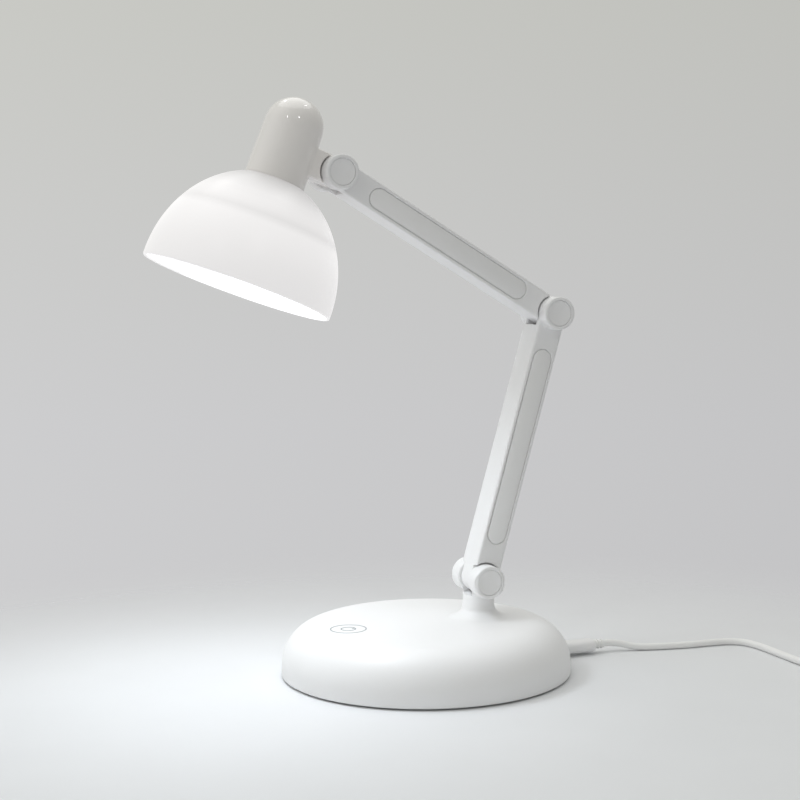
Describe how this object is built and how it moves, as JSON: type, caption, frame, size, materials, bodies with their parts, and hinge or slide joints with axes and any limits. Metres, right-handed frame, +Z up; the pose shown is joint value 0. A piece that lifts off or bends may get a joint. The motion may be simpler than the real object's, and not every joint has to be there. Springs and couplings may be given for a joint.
{
  "type": "desk lamp",
  "caption": "Folding LED desk lamp: round weighted base, two hinged arms and a bell-shaped opal shade, with a plug-in supply lead.",
  "frame": {"origin": "centre of the rubber pad's underside, on the table", "axes": "+Z up, away from the table; the head is towards -X and the supply socket towards +X; all hinge axes run along Y"},
  "size_m": [0.4264, 0.2045, 0.2941],
  "materials": {
    "white_plastic": "satin moulded white",
    "inlay_plastic": "smooth satin white",
    "cap_plastic": "gloss, slightly greyer white",
    "opal_shade": "translucent opal, soft gloss",
    "opal_diffuser": "translucent opal, matt",
    "plate_plastic": "moulded, light grey",
    "pad_rubber": "matt dark grey",
    "ballast_iron": "painted casting",
    "steel": "zinc plated",
    "bush_brass": "turned",
    "washer_plastic": "natural, waxy",
    "pcb_green": "glass-fibre board, green",
    "chip_black": "moulded parts, black",
    "copper_foil": "copper foil",
    "wire_jacket": "soft insulated wire",
    "mark_print": "printed, grey",
    "spreader_metal": "stamped, satin",
    "led_board_white": "aluminium board, white mask",
    "chip_yellow": "phosphor-filled resin",
    "cord_jacket": "soft satin white"
  },
  "bodies": {
    "base": {"base_cover": "white_plastic", "base_plate": "plate_plastic", "rubber_pad": "pad_rubber", "ballast_disc": "ballast_iron", "ballast_screws": "steel", "base_screws": "steel", "control_board": "pcb_green", "board_parts": "chip_black", "board_screws": "steel", "usb_socket": "steel", "touch_pad": "copper_foil", "touch_wire": "wire_jacket", "touch_mark": "mark_print", "base_wire": "wire_jacket", "base_hinge_bolt": "steel", "base_hinge_nut": "steel", "base_hinge_washers": "washer_plastic", "base_hinge_caps": "white_plastic", "usb_plug_shell": "steel", "usb_plug_grip": "white_plastic", "usb_strain_relief": "cord_jacket", "usb_cord": "cord_jacket", "usb_coil": "cord_jacket", "usb_cord_tail": "cord_jacket", "cord_tie": "cord_jacket", "supply_plug_grip": "white_plastic", "supply_plug_shell": "steel"},
    "lower_arm": {"lower_arm_beam": "white_plastic", "lower_arm_front_inlay": "inlay_plastic", "lower_arm_rear_inlay": "inlay_plastic", "lower_arm_wire": "wire_jacket", "lower_arm_bush": "bush_brass", "elbow_bolt": "steel", "elbow_nut": "steel", "elbow_washers": "washer_plastic", "elbow_caps": "white_plastic"},
    "upper_arm": {"upper_arm_beam": "white_plastic", "upper_arm_front_inlay": "inlay_plastic", "upper_arm_rear_inlay": "inlay_plastic", "upper_arm_wire": "wire_jacket", "upper_arm_bush": "bush_brass", "head_hinge_bolt": "steel", "head_hinge_nut": "steel", "head_hinge_washers": "washer_plastic", "head_hinge_caps": "white_plastic"},
    "head": {"head_housing": "cap_plastic", "head_bush": "bush_brass", "shade": "opal_shade", "heat_spreader": "spreader_metal", "led_board": "led_board_white", "led_chips": "chip_yellow", "diffuser": "opal_diffuser", "head_screws": "steel", "led_board_screws": "steel", "head_wire": "wire_jacket"}
  },
  "joints": [
    {"name": "base_hinge", "type": "hinge", "parent": "base", "child": "lower_arm", "pos_m": [0.03, 0, 0.047], "axis": [0, 1, 0], "range_deg": [-94, 61]},
    {"name": "elbow", "type": "hinge", "parent": "lower_arm", "child": "upper_arm", "pos_m": [0.07066, 0, 0.18514], "axis": [0, -1, 0], "range_deg": [-150, 3]},
    {"name": "head_tilt", "type": "hinge", "parent": "upper_arm", "child": "head", "pos_m": [-0.04713, 0, 0.25704], "axis": [0, 1, 0], "range_deg": [-45, 85]}
  ]
}
